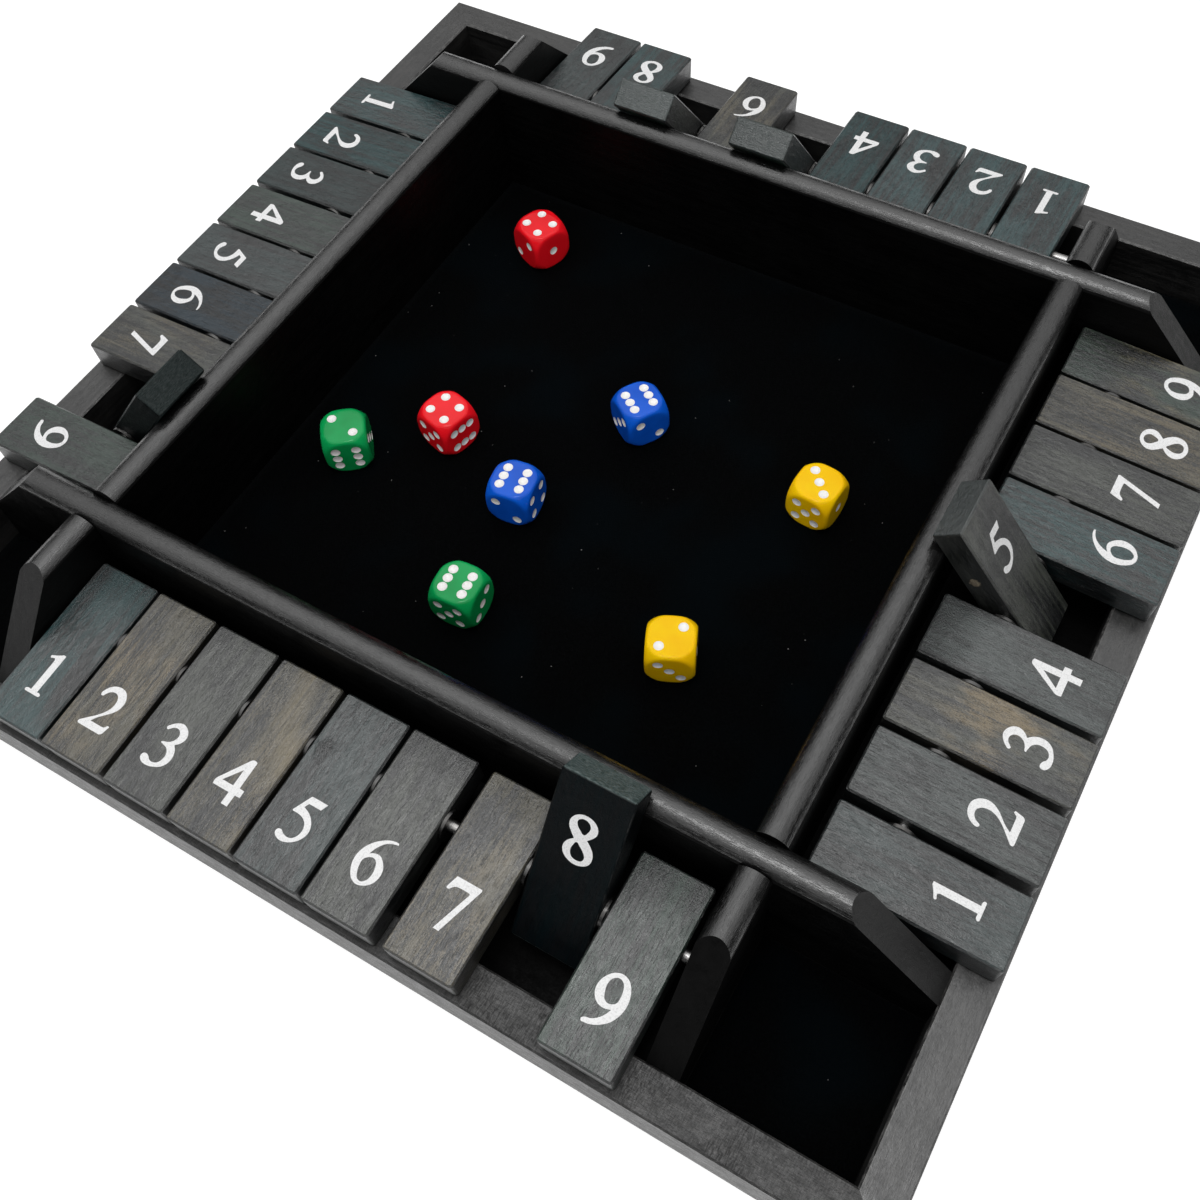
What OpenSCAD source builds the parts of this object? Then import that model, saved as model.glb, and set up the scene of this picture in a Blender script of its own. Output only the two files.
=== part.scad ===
// Shut the box for four players: a low square frame, four crossing dividers that part it into
// a dice tray, four side channels and four corner wells, and nine number tiles on a steel rod
// along each side. The origin is at the middle of the underside and the dice tray opens upwards.

/* [Frame] */
// Width and depth of the board over its outer walls
board_w = 305; // [295:1:325]
// Height of the outer walls
frame_h = 18; // [16:0.5:20]
// Thickness of the outer walls
wall_t = 10.4; // [9:0.1:12]
// Chamfer along the walls' two upper edges
wall_break = 0.5; // [0.2:0.1:1]
// Thickness of the base panel
panel_t = 3; // [2:0.5:5]
// How far the base panel reaches under the walls
panel_lap = 5; // [3:0.5:7]
// Gap between the base panel and the walls' rabbet
panel_fit = 0.2; // [0.1:0.1:0.5]

/* [Felt] */
// Thickness of the felt
felt_t = 1; // [0.5:0.25:2]
// Gap between the felt and the wood round it
felt_fit = 0.3; // [0.1:0.1:0.8]

/* [Dividers] */
// Thickness of the dividers
divider_t = 8.2; // [7:0.1:10]
// Height of a divider's square shoulders over the frame's top
shoulder_rise = 22.2; // [18:0.2:25]
// Rise of the rounded crown over the shoulders
crown_rise = 2.5; // [1:0.1:3.5]
// Gap on each side of a divider in the slot that it crosses
lap_fit = 0.15; // [0.05:0.05:0.4]

/* [Number tiles] */
// Width of a tile
tile_w = 18.8; // [17:0.1:20]
// Thickness of a tile
tile_t = 8.6; // [7.5:0.1:9.5]
// Distance from a tile's outer end to the board's outer edge
tile_setback = 1.4; // [0.5:0.1:3]
// Chamfer along a tile's edges
tile_break = 0.5; // [0.2:0.1:1]
// Gap between a divider and the inner end of a tile as it swings past
tile_clear = 2.7; // [1:0.1:4]
// Gap between an outer wall and the inner end of a tile as it swings past
wall_clear = 6.7; // [3:0.1:10]
// Play along a row of nine tiles, shared between its ten spaces
row_play = 9.4; // [5:0.2:14]
// Gap left under an open tile and behind a shut one
rest_gap = 0.08; // [0.05:0.01:0.2]

/* [Rods and washers] */
// Diameter of the hinge rods
rod_d = 3; // [2.5:0.1:3.5]
// Height of the rods' middle over the frame's top
rod_rise = 6; // [5.6:0.1:7]
// Depth of the blind holes that hold the rods' ends
rod_seat = 5; // [3:0.5:6]
// Gap all round a rod in a tile's bore
bore_fit = 0.08; // [0.02:0.01:0.1]
// Gap all round a rod in its blind hole
seat_fit = 0.05; // [0.02:0.01:0.1]
// Outer diameter of the washers
washer_d = 8.6; // [7:0.1:10]
// Bore of the washers
washer_bore = 4; // [3.7:0.1:4.5]
// Thickness of the washers
washer_t = 0.8; // [0.5:0.1:1.2]
// Gap between a washer and the tile on its left
washer_gap = 0.1; // [0.05:0.01:0.15]

/* [Dice] */
// Width of a die over its faces
die_w = 13.5; // [12:0.1:15]
// Diameter of the ball that rounds a die's corners
die_ball_d = 19; // [18:0.1:20]
// Distance between the middles of two pips
pip_pitch = 3; // [2.5:0.1:3.4]
// Diameter of a pip
pip_d = 2.8; // [2:0.1:2.9]
// Depth of a pip
pip_depth = 0.4; // [0.2:0.1:0.6]

/* [Hidden] */
$fn = 64;
tiny = 1;
sides = ["front", "right", "back", "left"];
tile_count = 9;

// Shares of the play in the ten spaces of a row, from its left end to its right end as the
// player on that side sees them
play_shares = [
    [4, 1, 6, 6, 4, 3, 32, 5, 5, 28],
    [23, 17, 11, 10, 10, 9, 3, 3, 3, 5],
    [62, 6, 4, 2, 3, 3, 5, 4, 2, 3],
    [5, 6, 2, 7, 2, 2, 4, 10, 10, 46]
];

// Tiles that are flipped shut on each side
shut_tiles = [[8], [5], [5, 7], [8]];

die_red = "#c8101a";
die_blue = "#0c5ad8";
die_green = "#0f9a3c";
die_yellow = "#f2c400";

// Each die: name, colour, place in the tray as a share of its half width, upper face and turn
dice = [
    ["red_die_1", die_red, [-0.69, 0.72], 4, -23],
    ["red_die_2", die_red, [-0.52, -0.125], 4, 165.5],
    ["blue_die_1", die_blue, [0.005, 0.195], 6, -124],
    ["blue_die_2", die_blue, [-0.18, -0.255], 6, 188],
    ["green_die_1", die_green, [-0.77, -0.335], 2, 38],
    ["green_die_2", die_green, [-0.125, -0.645], 6, 4],
    ["yellow_die_1", die_yellow, [0.64, 0.165], 3, 175.5],
    ["yellow_die_2", die_yellow, [0.505, -0.51], 2, -66]
];

// Half widths, measured out from the middle of the board
board_half = board_w / 2;
channel_half = board_half - wall_t;
tray_half = (tile_count * tile_w + (tile_count - 1) * washer_t + row_play) / 2;
divider_r = tray_half + divider_t / 2;
divider_outer = tray_half + divider_t;
slot_w = divider_t + 2 * lap_fit;

// Heights
shoulder_z = frame_h + shoulder_rise;
crown_z = shoulder_z + crown_rise;
crown_r = (pow(divider_t / 2, 2) + pow(crown_rise, 2)) / (2 * crown_rise);
lap_z = (panel_t + crown_z) / 2;
floor_z = panel_t + felt_t;
rod_z = frame_h + rod_rise;

// The rods and the swing of the tiles
swing_r = (channel_half - divider_outer - tile_clear - wall_clear) / 2;
tile_inner = sqrt(pow(swing_r, 2) - pow(tile_t / 2, 2));
rod_r = divider_outer + tile_clear + swing_r;
tile_outer = board_half - tile_setback - rod_r;
heel = norm([tile_outer - tile_break, tile_t / 2]);
open_dip = asin((rod_rise - rest_gap) / heel) - atan(tile_t / 2 / (tile_outer - tile_break));
crown_out = rod_r - divider_r;
crown_up = crown_z - crown_r - rod_z;
lean_gap = crown_r + tile_t / 2 + rest_gap;
shut_lean = atan(crown_out / crown_up) - asin(lean_gap / norm([crown_out, crown_up]));
shut_turn = 90 + open_dip + shut_lean;
rod_half = tray_half + rod_seat - seat_fit;
washer_drop = (washer_bore - rod_d) / 2 - seat_fit;

pip_ball_r = (pow(pip_d / 2, 2) + pow(pip_depth, 2)) / (2 * pip_depth);

function tile_name(i, n) = str(sides[i], "_tile_", n);
function is_shut(i, n) = len(search(n, shut_tiles[i])) > 0;
function sum_first(v, n) = n == 0 ? 0 : v[n - 1] + sum_first(v, n - 1);
function play_before(i, n) =
    row_play * sum_first(play_shares[i], n) / sum_first(play_shares[i], tile_count + 1);
function tile_left(i, n) = -tray_half + play_before(i, n) + (n - 1) * (tile_w + washer_t);

// Turns a piece that is drawn on the front side round to side i
module on_side(i) {
    rotate([0, 0, 90 * i]) children();
}

// Draws a profile in distance from the middle and height as a bar along the front side
module bar(length) {
    translate([-length / 2, 0, 0]) rotate([90, 0, 90]) linear_extrude(length) children();
}

module wall_profile() {
    panel_edge = channel_half + panel_lap;
    polygon([
        [-channel_half, panel_t],
        [-channel_half, frame_h - wall_break],
        [-channel_half - wall_break, frame_h],
        [-board_half + wall_break, frame_h],
        [-board_half, frame_h - wall_break],
        [-board_half, 0],
        [-panel_edge, 0],
        [-panel_edge, panel_t]
    ]);
}

// One mitred outer wall
module wall(i) {
    color("#2b2b2d") on_side(i) intersection() {
        bar(board_w) wall_profile();
        linear_extrude(frame_h) polygon([[0, 0], [board_half, -board_half], [-board_half, -board_half]]);
    }
}

module base_panel() {
    half = channel_half + panel_lap - panel_fit;
    color("#17171a") translate([-half, -half, 0]) cube([2 * half, 2 * half, panel_t]);
}

module tray_felt() {
    half = tray_half - felt_fit;
    color("#101016") translate([-half, -half, panel_t]) cube([2 * half, 2 * half, felt_t]);
}

module corner_felts() {
    near = divider_outer + felt_fit;
    size = channel_half - felt_fit - near;
    color("#101016") for (i = [0 : 3])
        on_side(i) translate([near, near, panel_t]) cube([size, size, felt_t]);
}

// Cross-section of a divider: square shoulders under a rounded crown
module divider_section() {
    translate([-divider_r - divider_t / 2, panel_t]) square([divider_t, shoulder_z - panel_t]);
    intersection() {
        translate([-divider_r, crown_z - crown_r]) circle(crown_r);
        translate([-divider_r - divider_t / 2, shoulder_z - tiny]) square([divider_t, crown_rise + tiny]);
    }
}

// A divider seen from its side: its ends slope down to the frame's top at 45 degrees
module divider_outline() {
    slope = crown_z - frame_h;
    polygon([
        [-channel_half, panel_t],
        [channel_half, panel_t],
        [channel_half, frame_h],
        [channel_half - slope, crown_z],
        [-channel_half + slope, crown_z],
        [-channel_half, frame_h]
    ]);
}

// The front and back dividers are slotted from below and the other two from above
module divider(i) {
    slot_z = i % 2 == 0 ? panel_t - tiny : lap_z;
    slot_h = i % 2 == 0 ? lap_z - slot_z : crown_z + tiny - lap_z;
    color("#3a3a3c") on_side(i) difference() {
        intersection() {
            bar(2 * channel_half) divider_section();
            translate([0, tiny - tray_half, 0]) rotate([90, 0, 0])
                linear_extrude(divider_t + 2 * tiny) divider_outline();
        }
        for (x = [-divider_r, divider_r])
            translate([x - slot_w / 2, -divider_outer - tiny, slot_z])
                cube([slot_w, divider_t + 2 * tiny, slot_h]);
        for (turn = [-90, 90])
            rotate([0, 0, turn]) rod_shape(2 * rod_seat + 2 * tray_half, rod_d + 2 * seat_fit);
    }
}

// A round bar on the front side's hinge line, centred on the side
module rod_shape(length, diameter) {
    translate([-length / 2, -rod_r, rod_z]) rotate([0, 90, 0]) cylinder(h = length, d = diameter);
}

module hinge_rod(i) {
    color("#d8d8d4") on_side(i) rod_shape(2 * rod_half, rod_d);
}

// One washer hangs on the rod in each space between two tiles
module spacer_washers() {
    color("#c4c4c0") for (i = [0 : 3], n = [1 : tile_count - 1])
        on_side(i) translate([tile_left(i, n) + tile_w + washer_gap, -rod_r, rod_z])
            rotate([0, 90, 0]) washer();
}

module washer() {
    translate([washer_drop, 0, 0]) difference() {
        cylinder(h = washer_t, d = washer_d);
        translate([0, 0, -tiny]) cylinder(h = washer_t + 2 * tiny, d = washer_bore);
    }
}

// A rectangle from corner to corner with its four corners cut off
module cut_rectangle(low, high, cut) {
    polygon([
        [low[0] + cut, low[1]], [high[0] - cut, low[1]],
        [high[0], low[1] + cut], [high[0], high[1] - cut],
        [high[0] - cut, high[1]], [low[0] + cut, high[1]],
        [low[0], high[1] - cut], [low[0], low[1] + cut]
    ]);
}

// A tile lying flat with its pivot at the origin and its outer end towards -Y
module tile_shape() {
    half_t = tile_t / 2;
    difference() {
        intersection() {
            rotate([90, 0, 90])
                linear_extrude(tile_w) cut_rectangle([-tile_outer, -half_t], [tile_inner, half_t], tile_break);
            translate([0, tile_inner, 0]) rotate([90, 0, 0])
                linear_extrude(tile_outer + tile_inner) cut_rectangle([0, -half_t], [tile_w, half_t], tile_break);
            translate([0, 0, -half_t])
                linear_extrude(tile_t) cut_rectangle([0, -tile_outer], [tile_w, tile_inner], tile_break);
        }
        translate([-tiny, 0, 0]) rotate([0, 90, 0])
            cylinder(h = tile_w + 2 * tiny, d = rod_d + 2 * bore_fit);
    }
}

// Tile n of side i, lying open on the frame or flipped shut against the divider's crown
module number_tile(i, n) {
    turn = open_dip - (is_shut(i, n) ? shut_turn : 0);
    color("#4b4f50") on_side(i) translate([tile_left(i, n), -rod_r, rod_z])
        rotate([turn, 0, 0]) tile_shape();
}

// Turns a die so that the given face is up; faces 1, 2 and 3 start at +Z, -Y and +X
function face_up(face) = [[0, 0, 0], [-90, 0, 0], [0, -90, 0], [0, 90, 0], [90, 0, 0], [180, 0, 0]][face - 1];

// Pip places of a face, in steps across it: the opposite corners, then the rows, then the middle
function pip_steps(face) = concat(
    face > 1 ? [[-1, 1], [1, -1]] : [],
    face > 3 ? [[1, 1], [-1, -1]] : [],
    face == 6 ? [[-1, 0], [1, 0]] : [],
    face % 2 == 1 ? [[0, 0]] : []
);

module die_shape() {
    half = die_w / 2;
    difference() {
        intersection() {
            cube(die_w, center = true);
            sphere(d = die_ball_d);
        }
        for (face = [1 : 6])
            pips_out_of(face) translate([0, 0, half - pip_depth + pip_ball_r])
                for (step = pip_steps(face)) translate(pip_pitch * step) sphere(pip_ball_r);
    }
}

// Turns pips drawn on top of a die out to the given face
module pips_out_of(face) {
    rotate(-face_up(face)) children();
}

module game_die(die) {
    color(die[1]) translate([0, 0, floor_z + die_w / 2]) translate(tray_half * die[2])
        rotate([0, 0, die[4]]) rotate(face_up(die[3])) die_shape();
}

for (i = [0 : 3]) wall(i);
for (i = [0 : 3]) divider(i);
base_panel();
tray_felt();
corner_felts();
for (i = [0 : 3]) hinge_rod(i);
spacer_washers();
for (i = [0 : 3], n = [1 : tile_count]) number_tile(i, n);
for (die = dice) game_die(die);
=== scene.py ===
import math

import bmesh
import bpy
from mathutils import Matrix, Vector, noise


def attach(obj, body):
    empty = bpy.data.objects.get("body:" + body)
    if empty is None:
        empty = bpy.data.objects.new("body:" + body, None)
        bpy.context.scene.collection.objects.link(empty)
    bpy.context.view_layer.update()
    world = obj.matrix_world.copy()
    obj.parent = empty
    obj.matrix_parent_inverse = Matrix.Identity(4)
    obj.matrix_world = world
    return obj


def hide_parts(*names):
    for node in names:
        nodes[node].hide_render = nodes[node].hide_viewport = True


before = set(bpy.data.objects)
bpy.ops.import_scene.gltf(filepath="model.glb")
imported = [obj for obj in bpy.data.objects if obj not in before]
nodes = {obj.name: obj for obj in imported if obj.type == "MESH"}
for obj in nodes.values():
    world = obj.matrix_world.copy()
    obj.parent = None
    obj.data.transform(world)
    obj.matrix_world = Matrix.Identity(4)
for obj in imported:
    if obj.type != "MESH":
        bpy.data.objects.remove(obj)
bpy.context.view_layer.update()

# Sizes in millimetres, as in the part's source
MM = 0.001
SIDES = ["front", "right", "back", "left"]
TRAY_HALF = 92.5
DIVIDER_T = 8.2
DIVIDER_R = TRAY_HALF + DIVIDER_T / 2
CHANNEL_HALF = 142.1
BOARD_HALF = 152.5
FRAME_H = 18.0
SHOULDER_Z = 40.2
CROWN_Z = 42.7
PANEL_T = 3.0
FELT_T = 1.0
FELT_FIT = 0.3
FLOOR_Z = PANEL_T + FELT_T
TILE_W = 18.8
TILE_T = 8.6
TILE_INNER = 15.411
TILE_OUTER = 31.7
TILE_STEP = TILE_W + 0.8
ROD_R = 119.4
ROD_Z = 24.0
BORE_D = 3.16
OPEN_DIP = 2.987
SHUT_TURN = 131.672
DIE_W = 13.5
DIE_BALL_D = 19.0
PIP_PITCH = 3.0
PIP_D = 2.8
PIP_DEPTH = 0.4

# Tenths of a millimetre of play in the ten spaces of each row, from its left end
PLAY = {
    "front": [4, 1, 6, 6, 4, 3, 32, 5, 5, 28],
    "right": [23, 17, 11, 10, 10, 9, 3, 3, 3, 5],
    "back": [62, 6, 4, 2, 3, 3, 5, 4, 2, 3],
    "left": [5, 6, 2, 7, 2, 2, 4, 10, 10, 46],
}
SHUT = {"front": [8], "right": [5], "back": [5, 7], "left": [8]}

# Each die: colour, place in the tray as a share of its half width, upper face and turn
DICE = {
    "red_die_1": ("red", (-0.69, 0.72), 4, -23),
    "red_die_2": ("red", (-0.52, -0.125), 4, 165.5),
    "blue_die_1": ("blue", (0.005, 0.195), 6, -124),
    "blue_die_2": ("blue", (-0.18, -0.255), 6, 188),
    "green_die_1": ("green", (-0.77, -0.335), 2, 38),
    "green_die_2": ("green", (-0.125, -0.645), 6, 4),
    "yellow_die_1": ("yellow", (0.64, 0.165), 3, 175.5),
    "yellow_die_2": ("yellow", (0.505, -0.51), 2, -66),
}

# Camera, in millimetres and in pixels of the 1200 pixel frame
CAMERA_AT = Vector((126.308, -187.338, 303.004))
CAMERA_TO = Vector((27.971, -44.865, 18.0))
CAMERA_ROLL = -5.32
FOCAL_PX = 1267.94
AXIS_PX = (612.78, 599.08)
FRAME_PX = 1200
SENSOR = 36.0


def make_camera():
    data = bpy.data.cameras.new("camera")
    data.sensor_width = SENSOR
    data.lens = SENSOR * FOCAL_PX / FRAME_PX
    data.shift_x = 0.5 - AXIS_PX[0] / FRAME_PX
    data.shift_y = AXIS_PX[1] / FRAME_PX - 0.5
    data.clip_start = 0.01
    data.clip_end = 20
    camera = bpy.data.objects.new("camera", data)
    bpy.context.scene.collection.objects.link(camera)
    forward = (CAMERA_TO - CAMERA_AT).normalized()
    flat_right = forward.cross(Vector((0, 0, 1))).normalized()
    flat_up = flat_right.cross(forward)
    roll = math.radians(CAMERA_ROLL)
    right = flat_right * math.cos(roll) + flat_up * math.sin(roll)
    up = flat_up * math.cos(roll) - flat_right * math.sin(roll)
    turn = Matrix((right, up, -forward)).transposed().to_4x4()
    camera.matrix_world = Matrix.Translation(CAMERA_AT * MM) @ turn
    bpy.context.scene.camera = camera


# Materials

class Graph:
    """A node tree, written as short calls that return sockets."""

    def __init__(self, tree):
        self.tree = tree

    def node(self, kind, values, **settings):
        made = self.tree.nodes.new(kind)
        for key, value in settings.items():
            setattr(made, key, value)
        self.fill(made, values)
        return made

    def fill(self, made, values):
        for key, value in values.items():
            socket = made.inputs[key]
            if isinstance(value, bpy.types.NodeSocket):
                self.tree.links.new(value, socket)
            else:
                socket.default_value = value

    def maths(self, operation, *values, clamp=False):
        made = self.node("ShaderNodeMath", dict(enumerate(values)), operation=operation)
        made.use_clamp = clamp
        return made.outputs[0]

    def vector(self, operation, *values):
        made = self.node("ShaderNodeVectorMath", dict(enumerate(values)), operation=operation)
        return made.outputs[1 if operation in ("LENGTH", "DISTANCE", "DOT_PRODUCT") else 0]

    def scaled(self, vector, size):
        return self.vector("MULTIPLY", vector, size)

    def noise(self, vector, scale, detail=2.0, roughness=0.5, distortion=0.0):
        values = {"Vector": vector, "Scale": scale, "Detail": detail}
        values.update({"Roughness": roughness, "Distortion": distortion})
        return self.node("ShaderNodeTexNoise", values).outputs[0]

    def step(self, value, low, high, out_low=0.0, out_high=1.0):
        values = {"Value": value, "From Min": low, "From Max": high}
        values.update({"To Min": out_low, "To Max": out_high})
        return self.node("ShaderNodeMapRange", values, interpolation_type="SMOOTHSTEP").outputs[0]

    def mix(self, share, first, second, blend="MIX"):
        made = self.node("ShaderNodeMix", {}, data_type="RGBA", blend_type=blend)
        colours = [c for c in made.inputs if c.type == "RGBA"]
        for socket, value in ((made.inputs[0], share), (colours[0], first), (colours[1], second)):
            if isinstance(value, bpy.types.NodeSocket):
                self.tree.links.new(value, socket)
            else:
                socket.default_value = value
        return made.outputs[2]

    def attribute(self, name, output="Vector"):
        return self.node("ShaderNodeAttribute", {}, attribute_name=name).outputs[output]

    def place(self):
        """Object coordinates in millimetres."""
        found = self.node("ShaderNodeTexCoord", {}).outputs["Object"]
        return self.scaled(found, (1 / MM,) * 3)

    def parts(self, vector):
        return self.node("ShaderNodeSeparateXYZ", {0: vector}).outputs

    def joined(self, x, y, z):
        return self.node("ShaderNodeCombineXYZ", {0: x, 1: y, 2: z}).outputs[0]

    def bump(self, height, distance, strength=1.0, normal=None):
        values = {"Height": height, "Distance": distance, "Strength": strength}
        if normal is not None:
            values["Normal"] = normal
        return self.node("ShaderNodeBump", values).outputs[0]


class Shader(Graph):
    """A material with one Principled shader."""

    def __init__(self, name):
        self.material = bpy.data.materials.new(name)
        self.material.use_nodes = True
        super().__init__(self.material.node_tree)
        self.tree.nodes.clear()
        self.surface = self.node("ShaderNodeBsdfPrincipled", {})
        output = self.tree.nodes.new("ShaderNodeOutputMaterial")
        self.tree.links.new(self.surface.outputs[0], output.inputs["Surface"])

    def principled(self, **values):
        named = {key.replace("_", " ").title().replace("Ior", "IOR"): value for key, value in values.items()}
        self.fill(self.surface, named)


def grey(level, warm=0.0):
    """A grey colour, warmer above zero and bluer below it."""
    return (level * (1 + warm), level, level * (1 - warm), 1.0)


def stained_wood(name, grain, deep, tone, worn, edge=None, rough=0.34, relief=0.05, gloss=0.9, crinkle=None,
                 texture=(1.9, 2.9, 2.9), wear=None):
    """Black stained wood under satin lacquer. grain(shader) gives millimetres with x along the
    grain, and relief is the depth of the lacquer's texture in millimetres."""
    s = Shader(name)
    g = grain(s)
    cloud = s.noise(s.scaled(g, (0.05, 0.10, 0.10)), 1.0, 3.0)
    streaks = s.noise(s.scaled(g, (0.030, 0.9, 0.9)), 1.0, 3.0, 0.6)
    pores = s.noise(s.scaled(g, (0.35, 4.5, 4.5)), 1.0, 2.0, 0.6)
    blotch = s.noise(s.scaled(g, (0.22, 0.40, 0.40)), 1.0, 3.0, 0.65)
    leather = s.noise(s.scaled(g, texture), 1.0, 3.0, 0.6)
    lines = s.noise(s.scaled(g, (0.12, 5.5, 5.5)), 1.0, 2.0, 0.6)
    share = s.maths("MULTIPLY_ADD", streaks, 0.5, s.maths("MULTIPLY", cloud, 0.5))
    share = s.maths("MULTIPLY_ADD", s.maths("SUBTRACT", leather, 0.5), 0.5, share)
    share = s.maths("MULTIPLY_ADD", s.maths("SUBTRACT", lines, 0.5), 0.3, share)
    colour = s.mix(s.step(share, 0.39, 0.61), deep, tone(s) if callable(tone) else tone)
    pore_share = s.step(pores, 0.56, 0.70)
    colour = s.mix(s.maths("MULTIPLY", pore_share, 0.6), colour, grey(0.001))
    if edge is not None:
        ragged = s.noise(s.scaled(g, (0.35, 0.9, 0.9)), 1.0, 3.0, 0.7)
        rub = s.maths("MULTIPLY", edge(s), s.step(ragged, 0.42, 0.66))
        colour = s.mix(rub, colour, worn)
    lacquer = s.noise(s.scaled(g, (0.28, 0.5, 0.5)), 1.0, 3.0, 0.55)
    height = s.maths("MULTIPLY_ADD", pore_share, -0.4, s.maths("MULTIPLY_ADD", lines, 0.4, leather))
    normal = s.bump(lacquer, 4 * relief * MM, 0.7)
    normal = s.bump(height, relief * MM, 1.0, normal)
    if crinkle is not None:
        normal = s.bump(s.maths("MULTIPLY", leather, crinkle(s)), 3.5 * relief * MM, 1.0, normal)
    dull = s.maths("MULTIPLY_ADD", s.maths("SUBTRACT", leather, 0.5), -0.8, blotch)
    roughness = s.step(dull, 0.25, 0.75, rough - 0.06, rough + 0.12)
    if wear is not None:
        worn_away = wear(s)
        colour = s.mix(s.maths("MULTIPLY", worn_away, 0.8), colour, grey(0.002))
        roughness = s.maths("MULTIPLY_ADD", worn_away, 0.3, roughness)
    s.principled(base_color=colour, roughness=roughness, normal=normal, specular_ior_level=gloss, ior=1.58)
    return s


def frame_grain(s):
    """Grain along each outer wall, turning at the mitres."""
    x, y, z = s.parts(s.place())
    lengthwise = s.maths("LESS_THAN", s.maths("ABSOLUTE", x), s.maths("ABSOLUTE", y))
    along = s.node("ShaderNodeMix", {0: lengthwise, 2: y, 3: x}).outputs[0]
    across = s.node("ShaderNodeMix", {0: lengthwise, 2: x, 3: y}).outputs[0]
    return s.joined(along, across, z)


def from_middle(s):
    """Distance from the middle of the board to the wall that a point is on."""
    x, y, _ = s.parts(s.place())
    return s.maths("MAXIMUM", s.maths("ABSOLUTE", x), s.maths("ABSOLUTE", y))


def frame_edge(s):
    """1 along the two upper edges of the outer walls."""
    out = from_middle(s)
    z = s.parts(s.place())[2]
    outer = s.step(out, BOARD_HALF - 0.9, BOARD_HALF - 0.4)
    inner = s.step(out, CHANNEL_HALF + 0.4, CHANNEL_HALF + 0.9, 1.0, 0.0)
    return s.maths("MULTIPLY", s.maths("MAXIMUM", outer, inner), s.step(z, FRAME_H - 0.8, FRAME_H - 0.3))


def divider_grain(axis):
    def grain(s):
        x, y, z = s.parts(s.place())
        return s.joined(x, y, z) if axis == 0 else s.joined(y, x, z)
    return grain


def tile_grain(s):
    seed = s.attribute("seed", "Fac")
    return s.vector("ADD", s.attribute("place"), s.joined(seed, seed, seed))


def tile_edge(s):
    """1 on a tile's edges, from its own coordinates about its middle."""
    found = s.parts(s.vector("ABSOLUTE", s.attribute("place")))
    half = ((TILE_INNER + TILE_OUTER) / 2, TILE_W / 2, TILE_T / 2)
    a, b, c = [s.maths("SUBTRACT", h, f) for h, f in zip(half, found)]
    nearest = s.maths("MAXIMUM", s.maths("MINIMUM", a, b), s.maths("MINIMUM", s.maths("MAXIMUM", a, b), c))
    return s.step(nearest, 0.15, 0.5, 0.8, 0.0)


def tile_crinkle(s):
    """How far the lacquer has shrunk into wrinkles, most at a tile's inner end."""
    along = s.parts(s.attribute("place"))[0]
    wander = s.noise(s.scaled(tile_grain(s), (0.12, 0.12, 0.12)), 1.0, 2.0)
    near_end = s.step(s.maths("MULTIPLY_ADD", wander, 16.0, along), 14.0, 30.0)
    return s.maths("MULTIPLY", s.attribute("crinkle", "Fac"), near_end)


def gap_to(s, x, y, z=None):
    """Distance in millimetres from a place on a tile, in coordinates about its pivot."""
    found = s.parts(s.attribute("place"))
    middle_y = (TILE_INNER - TILE_OUTER) / 2
    dx = s.maths("SUBTRACT", found[1], x - TILE_W / 2)
    dy = s.maths("SUBTRACT", found[0], y - middle_y)
    dz = 0.0 if z is None else s.maths("SUBTRACT", found[2], z)
    return s.vector("LENGTH", s.joined(dx, dy, dz))


def end_grain(s):
    """1 on a tile's two ends."""
    along = s.maths("ABSOLUTE", s.parts(s.attribute("place"))[0])
    return s.step(along, (TILE_INNER + TILE_OUTER) / 2 - 0.5, (TILE_INNER + TILE_OUTER) / 2 - 0.15)


# Slant of the brown streak across a tile, and the colours of streaks and patches
STREAK_SLANT = 0.3
STREAK = (0.135, 0.108, 0.056, 1.0)
PATCH = (0.150, 0.112, 0.056, 1.0)


def tile_tone(s):
    """A tile's own tone, with brown patches where the stain is thin."""
    patch = s.noise(s.scaled(tile_grain(s), (0.045, 0.08, 0.08)), 1.0, 4.0, 0.65)
    along = s.parts(s.attribute("place"))[0]
    inside = s.step(s.maths("ABSOLUTE", s.maths("ADD", along, 5.0)), 11.0, 21.0, 1.0, 0.15)
    share = s.maths("MULTIPLY", s.step(patch, 0.36, 0.60), s.maths("MULTIPLY", inside, s.attribute("brown", "Fac")))
    return s.mix(share, s.attribute("tint", "Color"), PATCH)


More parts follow.
